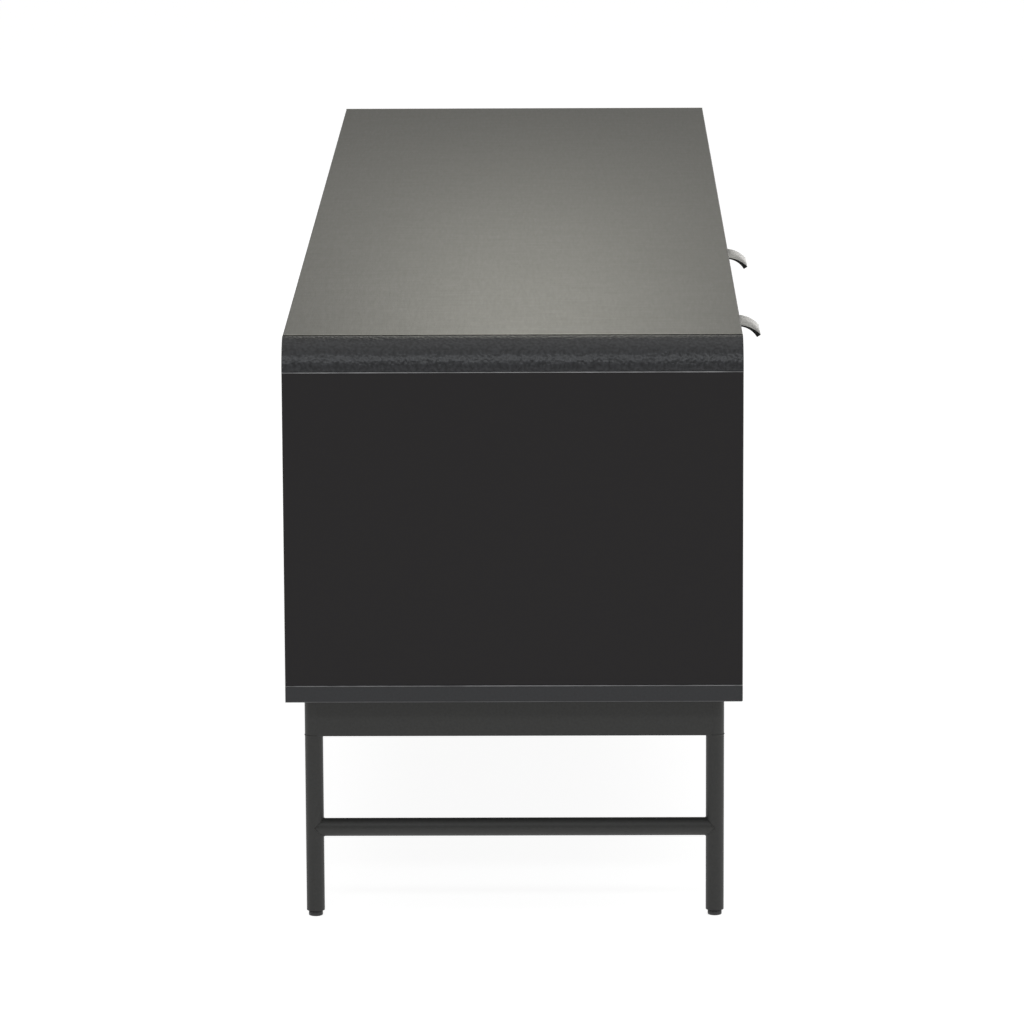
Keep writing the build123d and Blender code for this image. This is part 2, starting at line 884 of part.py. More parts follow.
def make_drawers():
    for name, bay in drawers.items():
        make_front(bay, f"{name}_front")
        make_box_back(bay, f"{name}_back")
        make_tray(bay, f"{name}_bottom")
        make_pull(bay, f"{name}_pull")
        make_drawer_screws(bay, f"{name}_screws")
        make_drawer_dowels(bay, f"{name}_dowels")
        for wall, (wall_x, inward) in runner_walls(bay).items():
            make_box_side(bay, wall, f"{name}_{wall}_side")
            make_cabinet_member(wall_x, inward, f"{name}_{wall}_cabinet_member")
            make_middle_member(wall_x, inward, f"{name}_{wall}_middle_member")
            make_drawer_member(wall_x, inward, f"{name}_{wall}_drawer_member")
    make_runner_screws()


make_body()
make_frame()
make_drawers()
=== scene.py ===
import math

import bmesh
import bpy
from mathutils import Matrix, Vector


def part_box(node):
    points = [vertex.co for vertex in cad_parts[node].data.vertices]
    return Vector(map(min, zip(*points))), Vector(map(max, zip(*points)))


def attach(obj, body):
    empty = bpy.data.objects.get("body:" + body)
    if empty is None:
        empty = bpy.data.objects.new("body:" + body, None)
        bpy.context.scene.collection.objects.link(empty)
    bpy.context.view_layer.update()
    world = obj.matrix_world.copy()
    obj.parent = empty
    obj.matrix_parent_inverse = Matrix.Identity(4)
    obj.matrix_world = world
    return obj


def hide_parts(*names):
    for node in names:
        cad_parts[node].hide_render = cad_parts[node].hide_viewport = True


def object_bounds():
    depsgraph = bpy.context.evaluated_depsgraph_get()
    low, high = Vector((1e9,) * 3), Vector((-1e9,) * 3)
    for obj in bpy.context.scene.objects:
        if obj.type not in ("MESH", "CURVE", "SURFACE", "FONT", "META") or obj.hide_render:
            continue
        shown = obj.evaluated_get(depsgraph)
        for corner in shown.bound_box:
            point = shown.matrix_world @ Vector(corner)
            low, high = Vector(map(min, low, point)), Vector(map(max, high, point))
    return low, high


bl_info = {
    "name": "Low drawer cabinet",
    "version": (1, 0, 0),
    "blender": (4, 5, 0),
    "location": "View3D > Sidebar > Cabinet",
    "description": "Finishes and details for a long, low drawer cabinet on a tube frame",
    "category": "Object",
}

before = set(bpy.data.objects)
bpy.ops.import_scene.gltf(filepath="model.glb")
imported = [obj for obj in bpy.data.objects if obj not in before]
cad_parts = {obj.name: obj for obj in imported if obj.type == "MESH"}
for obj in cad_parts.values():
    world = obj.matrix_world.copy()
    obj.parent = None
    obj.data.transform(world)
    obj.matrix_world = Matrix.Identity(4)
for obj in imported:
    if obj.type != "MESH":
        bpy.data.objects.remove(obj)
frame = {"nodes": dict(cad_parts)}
NODES = frame["nodes"]
CAD_LOW, CAD_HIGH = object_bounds()
DRAWERS = ("drawer_1", "drawer_2")
FACES = ("front", "back")
SIDES = ("left", "right")
MM = 0.001

# Surfaces: the painted highlight on the eased edges of the boards, and the painted shade in the joints
# and the painted highlight along the rim of the top
ARRIS = 0.8 * MM
ARRIS_HIGHLIGHT_GREY = (0.50, 0.50, 0.51)
JOINT_SHADE_GREY = 0.012
JOINT_SHADE_WIDTH = 2.2 * MM
RIM_WIDTH = 3.2 * MM
SAWN_DEPTH = 0.15 * MM

# Meshes: vertices closer than MERGE are one, and edges sharper than SHARP are not smoothed
MERGE = 0.002 * MM
FLAT = math.radians(0.4)
SHARP = math.radians(35)

# Welds: the sides and steps of a bead, the share of it that is sunk, and the filled joint
BEAD_SIDES = 10
BEAD_STEPS = 64
BEAD_SUNK = 0.5
FILL_INSET = 1.0 * MM
FILL_EASE = 0.4 * MM

# Feet: the steps round a foot, how many lie between notches, and the thread of its stud
FOOT_STEPS = 48
NOTCH_SPACING = 4
FOOT_GAP = 0.5 * MM
STUD_CREST = 2.95 * MM
STUD_ROOT = 2.5 * MM
STUD_TIP = 0.4 * MM

# Runners: the balls of one row, and the cage that keeps them apart
BALLS = 8
BALL_PLAY = 0.05 * MM
CAGE_THICKNESS = 0.5 * MM
CAGE_EASE = 0.12 * MM
CAGE_INSET = 8 * MM

# Stage
FLOOR_REACH = 400.0
SENSOR_WIDTH = 36.0


class CabinetColours(bpy.types.PropertyGroup):
    """Colours of the cabinet's finishes."""

    board: bpy.props.FloatVectorProperty(
        name="Board", description="Matte foil on the ends, the fronts and the dividers",
        default=(0.0072, 0.0058, 0.0065), subtype="COLOR", min=0, max=1,
    )
    top: bpy.props.FloatVectorProperty(
        name="Top", description="Lacquer of the top panel",
        default=(0.020, 0.0195, 0.016), subtype="COLOR", min=0, max=1,
    )
    edge: bpy.props.FloatVectorProperty(
        name="Edge", description="Textured coat of the corner profiles and the bottom panel",
        default=(0.0190, 0.0195, 0.0215), subtype="COLOR", min=0, max=1,
    )
    frame: bpy.props.FloatVectorProperty(
        name="Frame", description="Powder coat of the tube frame",
        default=(0.0305, 0.0305, 0.0292), subtype="COLOR", min=0, max=1,
    )
    pull: bpy.props.FloatVectorProperty(
        name="Pull", description="Black lacquered metal of the drawer pulls",
        default=(0.0045, 0.0045, 0.0043), subtype="COLOR", min=0, max=1,
    )
    box: bpy.props.FloatVectorProperty(
        name="Drawer box", description="Foil inside the drawers",
        default=(0.062, 0.063, 0.066), subtype="COLOR", min=0, max=1,
    )
    zinc: bpy.props.FloatVectorProperty(
        name="Zinc", description="Plated steel of the runners and the fasteners",
        default=(0.56, 0.57, 0.58), subtype="COLOR", min=0, max=1,
    )
    beech: bpy.props.FloatVectorProperty(
        name="Beech", description="Wood of the dowels",
        default=(0.52, 0.36, 0.22), subtype="COLOR", min=0, max=1,
    )
    plastic: bpy.props.FloatVectorProperty(
        name="Plastic", description="Feet and leg inserts",
        default=(0.020, 0.020, 0.020), subtype="COLOR", min=0, max=1,
    )
    floor: bpy.props.FloatVectorProperty(
        name="Floor", description="Plain pale floor",
        default=(0.30, 0.30, 0.30), subtype="COLOR", min=0, max=1,
    )


class CabinetSizes(bpy.types.PropertyGroup):
    """Sizes of the details, and the place of the camera."""

    pull_rounding: bpy.props.FloatProperty(
        name="Pull rounding", description="Radius of the edges of the pulls",
        default=0.3 * MM, unit="LENGTH",
    )
    weld: bpy.props.FloatProperty(
        name="Weld", description="Half thickness of the weld beads on the frame",
        default=0.8 * MM, unit="LENGTH",
    )
    foot_grip: bpy.props.FloatProperty(
        name="Foot grip", description="Depth of the grip notches round a foot",
        default=0.35 * MM, unit="LENGTH",
    )
    thread_pitch: bpy.props.FloatProperty(
        name="Thread pitch", description="Pitch of the thread of a foot's stud",
        default=1.0 * MM, unit="LENGTH",
    )
    ball: bpy.props.FloatProperty(
        name="Ball", description="Radius of a ball in the runners",
        default=1.1 * MM, unit="LENGTH",
    )
    camera_distance: bpy.props.FloatProperty(
        name="Camera distance", description="From the left end panel to the camera",
        default=5.0586, unit="LENGTH",
    )
    camera_height: bpy.props.FloatProperty(
        name="Camera height", description="Height of the camera above the floor",
        default=1.3686, unit="LENGTH",
    )
    camera_side: bpy.props.FloatProperty(
        name="Camera side", description="Place of the camera along the depth",
        default=-0.037, unit="LENGTH",
    )
    camera_turn: bpy.props.FloatProperty(
        name="Camera turn", description="Turn of the camera towards the back",
        default=math.radians(0.546), subtype="ANGLE",
    )
    camera_tilt: bpy.props.FloatProperty(
        name="Camera tilt", description="Tilt of the camera below the horizon",
        default=math.radians(11.182), subtype="ANGLE",
    )
    camera_roll: bpy.props.FloatProperty(
        name="Camera roll", description="Roll of the camera about its own axis",
        default=math.radians(-0.2675), subtype="ANGLE",
    )
    lens: bpy.props.FloatProperty(
        name="Lens", description="Focal length on a 36 mm wide sensor, in millimetres",
        default=208.66,
    )


# Shader maths
class Wire:
    """A shader socket that Python's own operators work on."""

    def __init__(self, wiring, socket):
        self.wiring = wiring
        self.socket = socket

    def maths(self, operation, first, second):
        return self.wiring.node("ShaderNodeMath", {"operation": operation}, [first, second])

    def __add__(self, other):
        return self.maths("ADD", self, other)

    def __radd__(self, other):
        return self.maths("ADD", other, self)

    def __sub__(self, other):
        return self.maths("SUBTRACT", self, other)

    def __rsub__(self, other):
        return self.maths("SUBTRACT", other, self)

    def __mul__(self, other):
        return self.maths("MULTIPLY", self, other)

    def __rmul__(self, other):
        return self.maths("MULTIPLY", other, self)


class Wiring:
    """The nodes of a material or of the world."""

    def __init__(self, owner):
        owner.use_nodes = True
        self.tree = owner.node_tree

    def node(self, kind, settings=None, inputs=None, output=0):
        """Adds a node: its settings first, then the values or links of its sockets."""
        made = self.tree.nodes.new(kind)
        for key, value in (settings or {}).items():
            setattr(made, key, value)
        pairs = inputs.items() if isinstance(inputs, dict) else enumerate(inputs or [])
        for key, value in pairs:
            self.feed(made.inputs[key], value)
        return Wire(self, made.outputs[output])

    def feed(self, socket, value):
        """Links a socket to a wire, or sets its value."""
        if isinstance(value, Wire):
            self.tree.links.new(value.socket, socket)
        elif socket.type == "RGBA":
            socket.default_value = (*value[:3], 1)
        else:
            socket.default_value = value

    def show(self, kind, surface):
        """Gives the surface to the output node of this kind."""
        self.feed(self.tree.nodes[kind].inputs["Surface"], surface)


class Finish(Wiring):
    """A material, and the nodes that make its surface."""

    def __init__(self, name):
        self.material = bpy.data.materials.new(name)
        super().__init__(self.material)
        self.shader = self.tree.nodes["Principled BSDF"]

    def shade(self, **values):
        """Sets or links the shader's own sockets, named with underscores for spaces."""
        for key, value in values.items():
            self.feed(self.shader.inputs[key.replace("_", " ")], value)

    def paint_shade(self, mask, grey):
        """Paints shade: swaps the surface for a dead matt grey where the mask is one."""
        matt = self.node("ShaderNodeBsdfDiffuse", None, {"Color": (grey, grey, grey), "Roughness": 0.5})
        lacquer = Wire(self, self.shader.outputs["BSDF"])
        self.show("Material Output", self.node("ShaderNodeMixShader", None, [mask, lacquer, matt]))

    def place(self, scale=(1, 1, 1)):
        """The place on the object, in metres times a scale along each axis."""
        here = self.node("ShaderNodeTexCoord", output="Object")
        inputs = {"Vector": here, "Scale": scale}
        return self.node("ShaderNodeMapping", {"vector_type": "POINT"}, inputs)

    def absolute(self, value):
        return self.node("ShaderNodeMath", {"operation": "ABSOLUTE"}, [value])

    def noise(self, where, scale, detail=2.0, roughness=0.5):
        inputs = {"Vector": where, "Scale": scale, "Detail": detail, "Roughness": roughness}
        return self.node("ShaderNodeTexNoise", {"noise_dimensions": "3D"}, inputs)

    def blend(self, factor, first, second):
        """A mix of two colours."""
        settings = {"data_type": "RGBA", "blend_type": "MIX"}
        return self.node("ShaderNodeMix", settings, {0: factor, 6: first, 7: second}, output=2)

    def coordinate(self, axis):
        """One coordinate of the place on the object, in metres."""
        here = self.node("ShaderNodeTexCoord", output="Object")
        return self.node("ShaderNodeSeparateXYZ", None, [here], output=axis)

    def band(self, coordinate, value, half_width):
        """One where a coordinate is within half a width of a value, and zero elsewhere."""
        return self.node("ShaderNodeMath", {"operation": "COMPARE"}, [coordinate, value, half_width])

    def bump(self, height, distance, strength=1.0):
        inputs = {"Height": height, "Distance": distance, "Strength": strength}
        return self.node("ShaderNodeBump", None, inputs)


def tint(colour, factor):
    """A colour made lighter or darker."""
    return tuple(min(1.0, part * factor) for part in colour[:3])


def painted_edge_highlight(made, colour, arrises):
    """Paints a highlight on eased edges, broken up by noise. Each is given by the two faces that meet
    there and how strong its painted highlight is.
    """
    for faces, highlight_strength in arrises:
        # painted highlight: a noisy band along each eased edge, blended towards a pale grey
        mask = made.noise(made.place(), 24.0, 3.0, 0.6) * 1.3 - 0.15
        for axis, value in faces:
            reach = made.coordinate(axis)
            if axis == 0:
                reach = made.absolute(reach)
            mask = mask * made.band(reach, value, 0.9 * ARRIS)
        colour = made.blend(mask * highlight_strength, colour, ARRIS_HIGHLIGHT_GREY)
    return colour


def board_finish(name, colour, along, roughness=0.52, arrises=()):
    """Matte foil with a faint grain that runs along one axis (0, 1 or 2)."""
    made = Finish(name)
    grain_scale = [900.0, 900.0, 900.0]
    grain_scale[along] = 26.0
    grain = made.noise(made.place(tuple(grain_scale)), 1.0, 4.0, 0.6)
    speck = made.noise(made.place(), 2600.0, 2.0, 0.5)
    cloud = made.noise(made.place(), 7.0, 3.0, 0.55)
    depth = grain * 0.6 + speck * 0.4
    foil = made.blend(depth * 0.8 + cloud * 0.2, tint(colour, 0.72), tint(colour, 1.30))
    # the base colour carries a painted highlight on the listed eased edges
    made.shade(
        Base_Color=painted_edge_highlight(made, foil, arrises),
        Roughness=roughness - 0.04 + cloud * 0.04 + speck * 0.05,
        Normal=made.bump(depth, 0.06 * MM, 0.55),
        Specular_IOR_Level=0.3,
    )
    return made.material


def top_finish(name, colour, seam, level):
    """Satin lacquer over a fine crossed grain, with a painted highlight along the rim and painted shade
    in the joint at each end.
    """
    made = Finish(name)
    fibre = made.noise(made.place((45.0, 420.0, 420.0)), 1.0, 3.0, 0.62)
    thread = made.noise(made.place((190.0, 26.0, 26.0)), 1.0, 2.0, 0.55)
    speck = made.noise(made.place(), 1300.0, 2.0, 0.5)
    cloud = made.noise(made.place(), 5.0, 3.0, 0.55)
    weave = fibre * 0.5 + thread * 0.3 + speck * 0.2
    reach = made.absolute(made.coordinate(0))
    # painted shade: a dark matt band over the joint at each end of the top
    joint_shade = made.band(reach, seam, ARRIS)
    # painted highlight: a pale band on the top beside each joint, where the rounded rim would catch the
    # light
    rim = made.band(reach, seam - ARRIS - RIM_WIDTH / 2, RIM_WIDTH / 2)
    rim = rim * made.band(made.coordinate(2), level, ARRIS)
    colours = made.blend(weave * 2.0 + cloud * 0.4 - 0.7, tint(colour, 0.55), tint(colour, 1.45))
    colours = made.blend(rim, colours, tint(colour, 5.0))
    made.shade(
        Base_Color=colours,
        Roughness=0.27 + weave * 0.24 + cloud * 0.04,
        Normal=made.bump(weave, 0.26 * MM, 0.6),
    )
    # the joint band becomes a dead matt grey, a painted shade
    made.paint_shade(joint_shade, JOINT_SHADE_GREY)
    return made.material


def coat_finish(name, colour, roughness=0.5, arrises=(), specular=0.4):
    """Powder coat with a fine, even texture."""
    made = Finish(name)
    speck = made.noise(made.place(), 1500.0, 2.0, 0.55)
    orange = made.noise(made.place(), 430.0, 1.5, 0.55)
    depth = speck * 0.4 + orange * 0.6
    # the base colour carries a painted highlight on the listed eased edges
    made.shade(
        Base_Color=painted_edge_highlight(made, made.blend(depth, tint(colour, 0.70), tint(colour, 1.35)), arrises),
        Roughness=roughness - 0.06 + speck * 0.12,
        Normal=made.bump(depth, 0.16 * MM, 0.7),
        Specular_IOR_Level=specular,
    )
    return made.material


def corner_finish(name, colour, seam, radius):
    """The same coat with a deeper peel, painted shade along the joint with the top, and duller near it.
    """
    made = Finish(name)
    speck = made.noise(made.place(), 1100.0, 2.0, 0.6)
    peel = made.noise(made.place(), 360.0, 0.4, 0.5)
    reach = made.absolute(made.coordinate(0))
    # painted shade: a dark matt band on the profile along the joint with the top
    joint_shade = made.band(reach, seam + JOINT_SHADE_WIDTH / 2, JOINT_SHADE_WIDTH / 2)
    nearness = (seam + radius - reach) * (1 / radius)
    coat = made.blend(peel * 2.4 + speck - 1.2, tint(colour, 0.62), tint(colour, 1.45))
    made.shade(
        Base_Color=coat,
        Roughness=0.31 + speck * 0.10 + nearness * nearness * nearness * 0.25,
        Normal=made.bump(peel, 0.55 * MM, 0.9),
        Specular_IOR_Level=0.4,
    )
    # the joint band becomes a dead matt grey, a painted shade
    made.paint_shade(joint_shade, JOINT_SHADE_GREY)
    return made.material


def pull_finish(name, colour, middle, half_pitch, half_length):
    """Semi-gloss black lacquer over extruded metal, dull on the sawn ends of both pulls."""
    made = Finish(name)
    along = made.absolute(made.absolute(made.coordinate(0) - middle) - half_pitch)
    sawn = made.band(along, half_length, SAWN_DEPTH)
    lines = made.noise(made.place((60.0, 2200.0, 2200.0)), 1.0, 3.0, 0.6)
    speck = made.noise(made.place(), 1500.0, 2.0, 0.5)
    made.shade(
        Base_Color=made.blend(lines, tint(colour, 0.8), tint(colour, 1.5)),
        Roughness=0.27 + lines * 0.05 + speck * 0.05 + sawn * 0.6,
        Normal=made.bump(lines * 0.5 + speck * 0.5, 0.02 * MM, 0.5),
        Coat_Weight=1.0 - sawn,
        Coat_Roughness=0.27,
        Coat_IOR=1.5,
    )
    return made.material


def zinc_finish(name, colour):
    """Bright zinc plate with soft clouding."""
    made = Finish(name)
    cloud = made.noise(made.place(), 260.0, 4.0, 0.6)
    speck = made.noise(made.place(), 1700.0, 2.0, 0.5)
    made.shade(
        Base_Color=made.blend(cloud, tint(colour, 0.78), tint(colour, 1.15)),
        Roughness=0.26 + cloud * 0.16 + speck * 0.06,
        Normal=made.bump(cloud * 0.5 + speck * 0.5, 0.03 * MM, 0.5),
        Metallic=1.0,
    )
    return made.material


def beech_finish(name, colour):
    """Plain wood with short pores."""
    made = Finish(name)
    pore = made.noise(made.place(), 900.0, 3.0, 0.7)
    made.shade(
        Base_Color=made.blend(pore, tint(colour, 0.7), tint(colour, 1.2)),
        Roughness=0.55 + pore * 0.15,
        Normal=made.bump(pore, 0.05 * MM, 0.5),
    )
    return made.material


def plastic_finish(name, colour):
    """Moulded plastic with a fine matte skin."""
    made = Finish(name)
    skin = made.noise(made.place(), 2200.0, 2.0, 0.5)
    made.shade(
        Base_Color=made.blend(skin, tint(colour, 0.8), tint(colour, 1.3)),
        Roughness=0.42 + skin * 0.12,
        Normal=made.bump(skin, 0.03 * MM, 0.5),
    )
    return made.material


def dress(material, *nodes):
    """Gives a material to whole CAD nodes."""
    for node in nodes:
        for slot in NODES[node].material_slots:
            slot.material = material


def add_piece(name, bm, material, body, slot, *nodes):
    """Makes a piece of a bmesh. It rides on a body and may stand for CAD nodes."""
    bmesh.ops.remove_doubles(bm, verts=bm.verts, dist=MERGE)
    bmesh.ops.recalc_face_normals(bm, faces=bm.faces)
    mesh = bpy.data.meshes.new(name)
    bm.to_mesh(mesh)
    bm.free()
    mesh.materials.append(material)
    mesh.shade_smooth()
    mesh.set_sharp_from_angle(angle=SHARP)
    piece = bpy.data.objects.new(name, mesh)
    bpy.context.scene.collection.objects.link(piece)
    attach(piece, body)
    if nodes:
        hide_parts(*nodes)
    return piece


def rounded_copy(node, radius):
    """A bmesh of a CAD node with its sharp edges rounded."""
    bm = bmesh.new()
    bm.from_mesh(NODES[node].data)
    bmesh.ops.remove_doubles(bm, verts=bm.verts, dist=MERGE)
    bmesh.ops.dissolve_limit(bm, angle_limit=FLAT, verts=bm.verts, edges=bm.edges)
    sharp = [edge for edge in bm.edges if edge.calc_face_angle(0) > SHARP]
    bmesh.ops.bevel(
        bm, geom=sharp, offset=radius, affect="EDGES", segments=3, profile=0.5, material=-1,
        clamp_overlap=True,
    )
    return bm


def turned(bm, outline, centre, steps):
    """Turns an outline of radius and height pairs about an upright axis."""
    corners = [bm.verts.new((centre[0] + radius, centre[1], height)) for radius, height in outline]
    edges = [bm.edges.new(pair) for pair in zip(corners, corners[1:])]
    bmesh.ops.spin(
        bm, geom=corners + edges, cent=(centre[0], centre[1], 0), axis=(0, 0, 1),
        angle=math.tau, steps=steps, use_merge=True,
    )


def look():
    """The colours in use."""
    return bpy.context.scene.cabinet_colours


def sizes():
    """The sizes in use."""
    return bpy.context.scene.cabinet_sizes


class CABINET_OT_boards(bpy.types.Operator):
    """Finish the boards of the body and of the drawers"""

    bl_idname = "cabinet.boards"
    bl_label = "Boards"

    def execute(self, context):
        colours = look()
        seam, _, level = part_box("top_panel")[1]
        dress(top_finish("top_lacquer", colours.top, seam, level), "top_panel")
        low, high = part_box("right_end_panel")
        # painted highlights on the eased edges of the end panels, strongest along the top edge under
        # the corner profile
        end_seam = (((0, high.x), (2, high.z)), 1.3)
        end_front = (((0, high.x), (1, low.y)), 0.15)
        ends = board_finish("end_foil", colours.board, 1, arrises=[end_seam, end_front])
        dress(ends, "left_end_panel", "right_end_panel")
        dress(board_finish("divider_foil", colours.board, 1), "drawer_divider", "centre_divider")
        flat = board_finish("flat_foil", colours.board, 0)
        dress(flat, "shelf", "back_panel", *[f"{name}_front" for name in DRAWERS])
        low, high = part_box("bottom_panel")
        # painted highlights on the eased edges of the bottom panel, strongest along the top edge at
        # each end
        rims = [
            (((0, high.x), (2, low.z)), 0.2),
            (((0, high.x), (2, high.z)), 1.0),
            (((1, low.y), (2, low.z)), 0.2),
            (((1, low.y), (2, high.z)), 0.2),
        ]
        dress(coat_finish("edge_coat", colours.edge, arrises=rims), "bottom_panel")
        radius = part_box("right_corner_profile")[1].x - seam
        corner = corner_finish("corner_coat", colours.edge, seam, radius)
        dress(corner, "left_corner_profile", "right_corner_profile")
        side_foil = board_finish("box_side_foil", colours.box, 1, 0.5)
        back_foil = board_finish("box_back_foil", colours.box, 0, 0.5)
        for name in DRAWERS:
            dress(side_foil, *[f"{name}_{side}_side" for side in SIDES])
            dress(back_foil, f"{name}_back", f"{name}_bottom")
        return {"FINISHED"}


class CABINET_OT_tube_frame(bpy.types.Operator):
    """Finish the tube frame and add its weld beads"""

    bl_idname = "cabinet.tube_frame"
    bl_label = "Tube frame"

    def execute(self, context):
        coat = coat_finish("frame_coat", look().frame, 0.46, specular=0.3)
        legs = [f"{face}_{side}_leg" for face in FACES for side in SIDES]
        rails = ["front_rail", "back_rail", "left_rail", "right_rail"]
        dress(coat, *legs, *rails, "left_stretcher", "right_stretcher")
        for side in SIDES:
            for face in FACES:
                bm = bmesh.new()
                self.weld_stretcher(bm, f"{face}_{side}_leg", f"{side}_stretcher")
                self.weld_rail(bm, f"{face}_{side}_leg", f"{side}_rail")
                add_piece(f"{face}_{side}_welds", bm, coat, "carcass", "frame_coat")
        return {"FINISHED"}

    def bead(self, bm, place, radius):
        """A ring of weld round an upright axis."""
        size = sizes().weld
        across = Matrix.Translation((radius, 0, 0)) @ Matrix.Rotation(math.radians(90), 4, "X")
        ring = bmesh.ops.create_circle(bm, segments=BEAD_SIDES, radius=size, matrix=across)["verts"]
        edges = [edge for edge in bm.edges if edge.verts[0] in ring]
        before = set(bm.verts) - set(ring)
        bmesh.ops.spin(
            bm, geom=ring + edges, cent=(0, 0, 0), axis=(0, 0, 1),
            angle=math.tau, steps=BEAD_STEPS, use_merge=True,
        )
        made = [vert for vert in bm.verts if vert not in before]
        bmesh.ops.transform(bm, matrix=place, verts=made)
        return made

    def weld_rail(self, bm, leg, rail):
        """A bead under the rail, round the leg."""
        low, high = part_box(leg)
        centre = (low + high) / 2
        foot = Vector((centre.x, centre.y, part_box(rail)[0].z))
        self.bead(bm, Matrix.Translation(foot), (high.x - low.x) / 2 - BEAD_SUNK * sizes().weld)

    def weld_stretcher(self, bm, leg, stretcher):
        """A filled joint and a bead that follows the line where two tubes meet."""
        low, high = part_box(leg)
        centre = (low + high) / 2
        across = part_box(stretcher)
        axis_z = (across[0].z + across[1].z) / 2
        radius = (across[1].z - across[0].z) / 2
        inward = 1 if (across[0].y + across[1].y) / 2 > centre.y else -1
        lie = Matrix.Translation((centre.x, centre.y, axis_z))
        lie = lie @ Matrix.Rotation(math.radians(90), 4, "X")
        made = self.bead(bm, lie, radius - BEAD_SUNK * sizes().weld)
        for level in (-1, 1):
            slope = Matrix.Shear("XY", 4, (0, inward * level))
            shear = Matrix.Translation((0, 0, axis_z)) @ slope @ Matrix.Translation((0, 0, -axis_z))
            half = [vert for vert in made if (vert.co.z - axis_z) * level > MERGE]
            bmesh.ops.transform(bm, matrix=shear, verts=half)
        fill = bmesh.ops.create_cone(
            bm, cap_ends=True, segments=BEAD_STEPS, radius1=radius, radius2=radius,
            depth=radius - FILL_INSET,
            matrix=Matrix.Translation((0, inward * radius / 2, 0)) @ lie,
        )["verts"]
        edges = [edge for edge in bm.edges if edge.verts[0] in fill]
        rims = [edge for edge in edges if edge.calc_face_angle(0) > SHARP]
        bmesh.ops.bevel(
            bm, geom=rims, offset=FILL_EASE, affect="EDGES", segments=2, profile=0.5, material=-1,
        )


class CABINET_OT_feet(bpy.types.Operator):
    """Make the levelling feet, with their grips and threads"""

    bl_idname = "cabinet.feet"
    bl_label = "Levelling feet"

    def execute(self, context):
        plastic = plastic_finish("foot_plastic", look().plastic)
        dress(plastic, "foot_inserts")
        for face in FACES:
            for side in SIDES:
                self.make_foot(f"{face}_{side}_foot", plastic)
        return {"FINISHED"}

    def make_foot(self, node, plastic):
        """A pad with a rounded rim and notches, on a threaded stud."""
        low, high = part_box(node)
        centre = (low + high) / 2
        pad = (high.x - low.x) / 2
        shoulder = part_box(node.replace("foot", "leg"))[0].z - FOOT_GAP
        pitch = sizes().thread_pitch
        turns = int((high.z - shoulder) / pitch)
        outline = [
            (0, 0), (pad * 0.86, 0), (pad * 0.96, 0.25 * MM), (pad, 0.8 * MM),
            (pad, shoulder - 0.7 * MM), (pad * 0.95, shoulder - 0.2 * MM), (pad * 0.88, shoulder),
        ]
        for turn in range(turns):
            height = shoulder + turn * pitch
            outline += [(STUD_ROOT, height + 0.1 * pitch), (STUD_CREST, height + 0.5 * pitch)]
        outline += [(STUD_ROOT, high.z - STUD_TIP), (STUD_ROOT - STUD_TIP, high.z), (0, high.z)]
        bm = bmesh.new()
        turned(bm, outline, centre, FOOT_STEPS)
        wall = [vert for vert in bm.verts if (vert.co.xy - centre.xy).length > pad - MERGE]
        notches = [vert for vert in wall if self.column(vert, centre) % NOTCH_SPACING == 0]
        shrink = 1 - sizes().foot_grip / pad
        here = Matrix.Translation((centre.x, centre.y, 0))
        squeeze = here @ Matrix.Diagonal((shrink, shrink, 1, 1)) @ here.inverted()
        bmesh.ops.transform(bm, matrix=squeeze, verts=notches)
        add_piece(f"{node}_glide", bm, plastic, node, "foot_plastic", node)

    def column(self, vert, centre):
        """Which of the steps round the foot a vertex is on."""
        turn = math.atan2(vert.co.y - centre.y, vert.co.x - centre.x)
        return round(turn / math.tau * FOOT_STEPS)


class CABINET_OT_pulls(bpy.types.Operator):
    """Make the lip pulls, with rounded edges"""

    bl_idname = "cabinet.pulls"
    bl_label = "Pulls"

    def execute(self, context):
        near, far = [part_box(f"{name}_pull") for name in DRAWERS]
        middle = (near[0].x + far[1].x) / 2
        half_length = (near[1].x - near[0].x) / 2
        half_pitch = (far[0].x - near[0].x) / 2
        lacquer = pull_finish("pull_lacquer", look().pull, middle, half_pitch, half_length)
        for name in DRAWERS:
            node = f"{name}_pull"
            bm = rounded_copy(node, sizes().pull_rounding)
            add_piece(f"{name}_lip_pull", bm, lacquer, name, "pull_metal", node)
        return {"FINISHED"}


